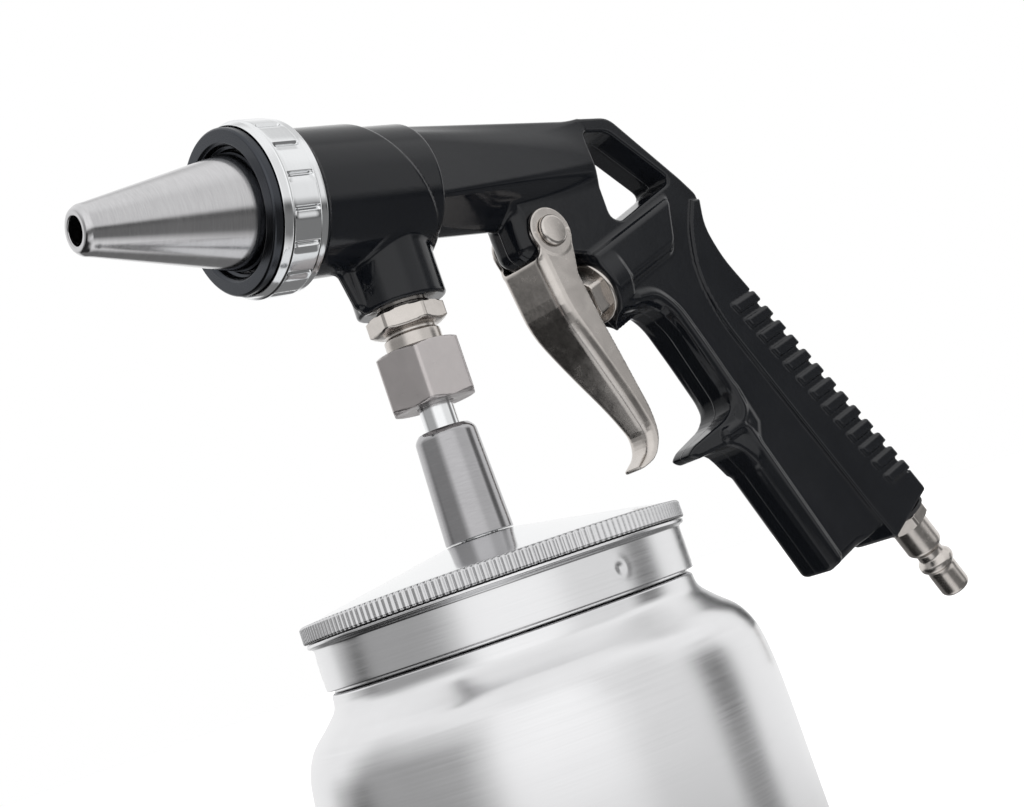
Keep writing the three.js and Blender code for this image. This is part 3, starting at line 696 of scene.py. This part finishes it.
# ---------------------------------------------------------------- cup
CUP_SIDE = [[0, 0], [49.5, 0, 1], [61.5, 0, 12], [61.5, 76, 10], [61.2, 86, 6], [60.2, 94, 5], [57.4, 100, 4],
            [52.6, 104, 2.5], [48.9, 108, 2], [48.7, 111.4, 0.5], [47.6, 112, 0.3], [47.6, 123.3, 0.4],
            [46, 123.3, 0.4], [46, 110, 2], [51, 102.5, 3], [55.8, 98.6, 4], [58.6, 93, 5], [59.9, 76, 10],
            [59.9, 2, 10], [0, 2]]
turned("cup_shell", CUP_SIDE, UPRIGHT, SPUN, "cup_body", ("cup",), 192, longest=6)


# ---------------------------------------------------------------- lid and collar
RIM_TEETH = 190


def knurl(radius, angle, height):
    """Rounded teeth between narrow grooves, on the outside of the rim."""
    groove = np.abs(np.cos(angle * RIM_TEETH / 2)) ** 6
    return np.where(radius > 50.9, radius - 0.6 * groove, radius)


turned("lid_rim", [
    [47.4, RIM_LOW], [51.2, RIM_LOW], [51.5, RIM_LOW + 0.4], [51.5, RIM_TOP - 0.5], [51, RIM_TOP],
    [49, RIM_TOP + 0.2], [47.4, RIM_TOP],
], UPRIGHT, RIM, "gun", (), RIM_TEETH * 6, knurl, small=0.15)
STEM_FOOT = 9.24    # radius of the stem where it meets the lid
CONE_TOP = RIM_TOP + 0.2 + 0.18 * (49 - STEM_FOOT)
turned("lid_cone", [
    [5, CONE_TOP], [STEM_FOOT, CONE_TOP, 2], [44, RIM_TOP + 1.1, 6], [49, RIM_TOP + 0.1, 1],
    [48, RIM_TOP - 1.6], [STEM_FOOT, CONE_TOP - 2], [5, CONE_TOP - 2],
], UPRIGHT, POLISHED, "gun", ("lid",), 160, longest=6)


COLLAR = 49.5
COLLAR_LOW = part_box("lid_collar")[0].z / MM


def staked(radius, angle, height):
    """Three punched dimples, each with a raised edge, that hold the collar in the lid."""
    for first in (-92.5, 27.5, 147.5):
        away = (angle - math.radians(first) + math.pi) % (2 * math.pi) - math.pi
        spot = np.hypot(away * COLLAR, (height - RIM_TOP + 11.6) * 0.9)
        dent = -0.3 * np.exp(-((spot / 0.8) ** 2)) + 0.12 * np.exp(-(((spot - 2.0) / 0.8) ** 2))
        radius = np.where(radius > COLLAR - 0.2, radius + dent, radius)
    return radius


turned("collar_skirt", [
    [48, COLLAR_LOW], [COLLAR, COLLAR_LOW, 0.4], [COLLAR, RIM_LOW - 1.8, 0.5], [50.9, RIM_LOW - 1.2, 0.3],
    [50.9, RIM_LOW - 0.3], [48, RIM_LOW - 0.3],
], UPRIGHT, SPUN, "gun", ("lid_collar",), 480, staked, longest=0.6)

# ---------------------------------------------------------------- suction line
turned("stem_cone", [
    [5, CONE_TOP + 0.3], [STEM_FOOT, CONE_TOP + 0.3, 0.3], [8.35, STEM_TOP - 1.6, 0.9], [6.9, STEM_TOP, 0.4],
    [5, STEM_TOP],
], UPRIGHT, STEM, "gun", ("stem",))
LIP = RIM_TOP + 47.3
turned("flanged_pipe", [
    [3.2, RIM_TOP - 8], [4.7, RIM_TOP - 8], [4.7, LIP, 0.4], [7.6, LIP], [7.6, LIP + 3], [3.2, LIP + 3],
], UPRIGHT, POLISHED, "gun", ("stem_pipe",))


def hexed(flats, turn, above=0.0):
    shape = hexagon(flats, math.radians(turn))
    return lambda radius, angle, height: np.where(radius > above, np.minimum(radius, shape(angle)), radius)


UNION_LOW, UNION_TOP = RIM_TOP + 44, RIM_TOP + 59.7
turned("union_nut_body", [
    [5, UNION_LOW], [10.9, UNION_LOW, 0.3], [12.75, UNION_LOW + 1.0, 0.2], [12.75, UNION_TOP - 1.0, 0.2],
    [10.9, UNION_TOP, 0.3], [8, UNION_TOP], [8, UNION_LOW + 3], [5, UNION_LOW + 3],
], UPRIGHT, GROUND, "union", ("union_nut",), 240, hexed(22, 22), longest=1.5)
HEX_LOW, HEX_TOP = RIM_TOP + 65, RIM_TOP + 70.2
turned("nipple_hex", [
    [4.5, LIP + 3.3], [7.7, LIP + 3.3], [7.7, HEX_LOW - 1.6, 0.3], [6.9, HEX_LOW - 1.2], [6.9, HEX_LOW - 0.3],
    [8.9, HEX_LOW, 0.3], [10.95, HEX_LOW + 1.1, 0.2], [10.95, HEX_TOP - 0.5, 0.2], [9.6, HEX_TOP],
    [6.7, HEX_TOP], [6.7, 211.4], [4.5, 211.4],
], UPRIGHT, NICKEL, "gun", ("suction_nipple",), 240, hexed(19, -9), longest=1.2)

# ---------------------------------------------------------------- nozzle, ring and nut
turned("nozzle_cone", [
    [3.6, 84.3, 0.3], [5.2, 84.3, 0.5], [6.2, 82.9, 0.5], [6.55, 80.9, 0.3], [15, 40.7, 0.5], [15, 36.7],
    [17, 36.7], [17, 34.7], [8.6, 34.7], [8.6, 22], [7.6, 22], [3.6, 46],
], ON_BARREL, STEEL, "gun", ("nozzle",), 160, longest=4)
turned("clamp_ring", [
    [15.5, 37], [21.1, 37], [21.1, 42.4, 0.4], [20.6, 42.9, 0.2], [17.4, 42.9, 0.2], [16.7, 42.2, 0.2],
    [16.5, 40.4, 0.3], [15.5, 40],
], ON_BARREL, OXIDE, "nozzle_clamp", ("nozzle_ring",), 160)


def padded_grip(radius, angle, height):
    """Sixteen raised pads between narrow sunk steps, over the middle of the nut."""
    phase = angle * 16 / (2 * math.pi) % 1
    groove = np.where(phase < 0.1, 0.9, 0) + 0.35 * smooth_step(phase, 0.7, 1.0)
    on_pads = smooth_step(height, 30.2, 30.6) * smooth_step(height, 37.9, 37.5)
    return np.where(radius > 22, radius - groove * on_pads, radius)


turned("clamp_nut", [
    [17.6, 27.6], [21.8, 27.6, 0.3], [22.3, 28, 0.2], [22.3, 29.9, 0.2], [22.6, 30.3, 0.1], [22.6, 37.9, 0.1],
    [22.1, 38.2, 0.2], [21.9, 39.2, 0.2], [21.6, 40.3, 0.3], [21.4, 40.3], [21.4, 36.7], [17.6, 36.7],
], ON_BARREL, POLISHED, "nozzle_clamp", ("nozzle_nut",), 480, padded_grip, longest=0.8, small=0.1)

# ---------------------------------------------------------------- pin, gland and valve stem
turned("pin_rivet", [
    [0, 11.5], [3.9, 11.4, 0.4], [4.6, 10.8, 0.4], [4.7, 9.9, 0.1], [2.3, 9.9], [2.3, -11.9, 0.3], [0, -11.9],
], ON_PIN, NICKEL, "gun", ("trigger_pin",), 96)
turned("gland_disc", [
    [2.3, 0.3], [9.3, 0.3, 0.3], [9.7, 0.7, 0.3], [9.7, 1.8], [6.7, 1.8], [6.7, 10], [2.3, 10],
], ON_VALVE, NICKEL, "gun", ("valve_gland",), 128)
turned("gland_hex", [
    [2.3, -5.4], [7.4, -5.4, 0.3], [8.6, -4.7, 0.2], [8.6, 0.4], [2.3, 0.4],
], ON_VALVE, NICKEL, "gun", (), 192, hexed(15, 15), longest=0.8)
turned("valve_rod", [
    [0, -16], [1.4, -16, 0.3], [2, -15.3, 0.4], [2, 12.3], [1.2, 12.3], [1.2, 16.5], [0, 16.5],
], ON_VALVE, STEEL, "valve", ("valve_stem",), 64)


# ---------------------------------------------------------------- air plug
def plug_hex(radius, angle, height):
    hexagonal = np.minimum(radius, hexagon(14)(angle))
    return np.where((height < 5.9) & (radius > 6.6), hexagonal, radius)


turned("plug_body", [
    [3.5, -11], [6.2, -11], [6.2, 1.8], [7.2, 1.8, 0.2], [8, 2.3, 0.2], [8, 5.3, 0.2], [7.2, 5.8, 0.2],
    [6.2, 5.8], [6.2, 15.3, 0.5], [5.5, 16.3, 0.4], [4.5, 17.2, 0.4], [4.5, 19.4, 0.4], [5.2, 20.2, 0.5],
    [6, 21.2, 0.7], [6, 23, 0.7], [4.8, 24.2, 0.4], [5, 25.6, 0.4], [5, 33, 0.6], [4.2, 34, 0.4], [3.5, 34],
], ON_INLET, NICKEL, "gun", ("air_plug",), 192, plug_hex, longest=1.0, small=0.15)

# ---------------------------------------------------------------- camera
CAMERA_FROM = Vector((-0.2594, -0.3317, 0.1196))
CAMERA_TOWARD = Vector((0.6469, 0.7540, 0.1139)).normalized()
CAMERA_ROLL = math.radians(-19.0)


def make_camera():
    """A camera held close and low, with the object's upright leaning to the left."""
    level = CAMERA_TOWARD.cross(Vector((0, 0, 1))).normalized()
    upward = level.cross(CAMERA_TOWARD)
    right = level * math.cos(CAMERA_ROLL) + upward * math.sin(CAMERA_ROLL)
    up = upward * math.cos(CAMERA_ROLL) - level * math.sin(CAMERA_ROLL)
    data = bpy.data.cameras.new("camera")
    data.lens = 56.9
    data.sensor_width = 36
    data.clip_start = 0.01
    camera = bpy.data.objects.new("camera", data)
    turn = Matrix((right, up, -CAMERA_TOWARD)).transposed().to_4x4()
    camera.matrix_world = Matrix.Translation(CAMERA_FROM) @ turn
    bpy.context.scene.collection.objects.link(camera)
    bpy.context.scene.camera = camera


make_camera()


# ---------------------------------------------------------------- studio
# Soft patches of the studio's walls: bearing and half width, lowest and highest elevation and softness,
# all in degrees, and how much light each takes away. A negative amount is a lit panel.
PATCHES = [
    (163, 26, -60, 34, 20, 0.6),
    (122, 8, -60, 2, 10, 0.75),
    (-72, 14, -20, 50, 10, 0.15),
    (-35, 6, -14, 20, 10, 0.8),
    (20, 34, 46, 60, 10, 0.4),
    (-126, 20, -8, 50, 12, -0.12),
    (-143, 25, -60, -38, 10, -0.8),
]


def studio_world():
    """A white studio with dark patches that draw the metal's edges, darker below the horizon."""
    world = bpy.data.worlds.new("studio")
    world.use_nodes = True
    tree = world.node_tree
    way = add_node(tree, "ShaderNodeTexCoord").outputs["Generated"]
    parts = add_node(tree, "ShaderNodeSeparateXYZ", {0: way}).outputs
    level = maths(tree, "SQRT", maths(tree, "SUBTRACT", 1.0001, maths(tree, "MULTIPLY", parts[2], parts[2])))
    strength = maths(tree, "MAXIMUM", spread(tree, parts[2], 0.2, 1, -0.3, -0.14),
                     spread(tree, parts[2], 1, 0.2, -0.97, -0.8))
    for bearing, half_width, low, high, soft, depth in PATCHES:
        middle_x, middle_y = math.cos(math.radians(bearing)), math.sin(math.radians(bearing))
        along = maths(tree, "ADD", maths(tree, "MULTIPLY", parts[0], middle_x),
                      maths(tree, "MULTIPLY", parts[1], middle_y))
        cosine = maths(tree, "DIVIDE", along, level)
        inner, outer = math.cos(math.radians(half_width)), math.cos(math.radians(half_width + soft))
        sideways = spread(tree, cosine, 0, depth, outer, inner)
        low_start, low_end = (math.sin(math.radians(low + way * soft)) for way in (-1, 1))
        high_start, high_end = (math.sin(math.radians(high + way * soft)) for way in (-1, 1))
        upwards = maths(tree, "MULTIPLY", spread(tree, parts[2], 0, 1, low_start, low_end),
                        spread(tree, parts[2], 1, 0, high_start, high_end))
        strength = maths(tree, "SUBTRACT", strength, maths(tree, "MULTIPLY", sideways, upwards))
    strength = maths(tree, "MAXIMUM", strength, 0.03)
    camera_ray = add_node(tree, "ShaderNodeLightPath").outputs["Is Camera Ray"]
    strength = maths(tree, "MAXIMUM", strength, camera_ray)
    background = tree.nodes["Background"]
    background.inputs["Color"].default_value = (1, 1, 1, 1)
    tree.links.new(strength, background.inputs["Strength"])
    bpy.context.scene.world = world


def sun_light(name, strength):
    """Even light from straight above, as wide as a white ceiling."""
    data = bpy.data.lights.new(name, "SUN")
    data.energy = strength
    data.angle = math.radians(80)
    light = bpy.data.objects.new(name, data)
    light.visible_glossy = False
    bpy.context.scene.collection.objects.link(light)


def pale_floor():
    """A wide pale floor just under the cup, which the metal doesn't mirror."""
    mesh = bpy.data.meshes.new("floor")
    half = 6.0
    corners = [(-half, -half, 0), (half, -half, 0), (half, half, 0), (-half, half, 0)]
    mesh.from_pydata(corners, [], [(0, 1, 2, 3)])
    material, tree, shader = new_material("pale floor")
    tone = noise(tree, object_place(tree), 3.0)
    mix = {"Factor": tone, 6: (0.9, 0.9, 0.9, 1), 7: (0.94, 0.94, 0.94, 1)}
    base = add_node(tree, "ShaderNodeMix", mix, data_type="RGBA").outputs[2]
    tree.links.new(base, shader.inputs["Base Color"])
    shader.inputs["Roughness"].default_value = 0.6
    mesh.materials.append(material)
    floor = bpy.data.objects.new("floor", mesh)
    floor.location.z = cad_box[0].z - 0.0005
    floor.visible_glossy = False
    bpy.context.scene.collection.objects.link(floor)


studio_world()
pale_floor()
sun_light("ceiling light", 2.0)
bpy.context.scene.view_settings.view_transform = "Standard"

bpy.context.view_layer.update()
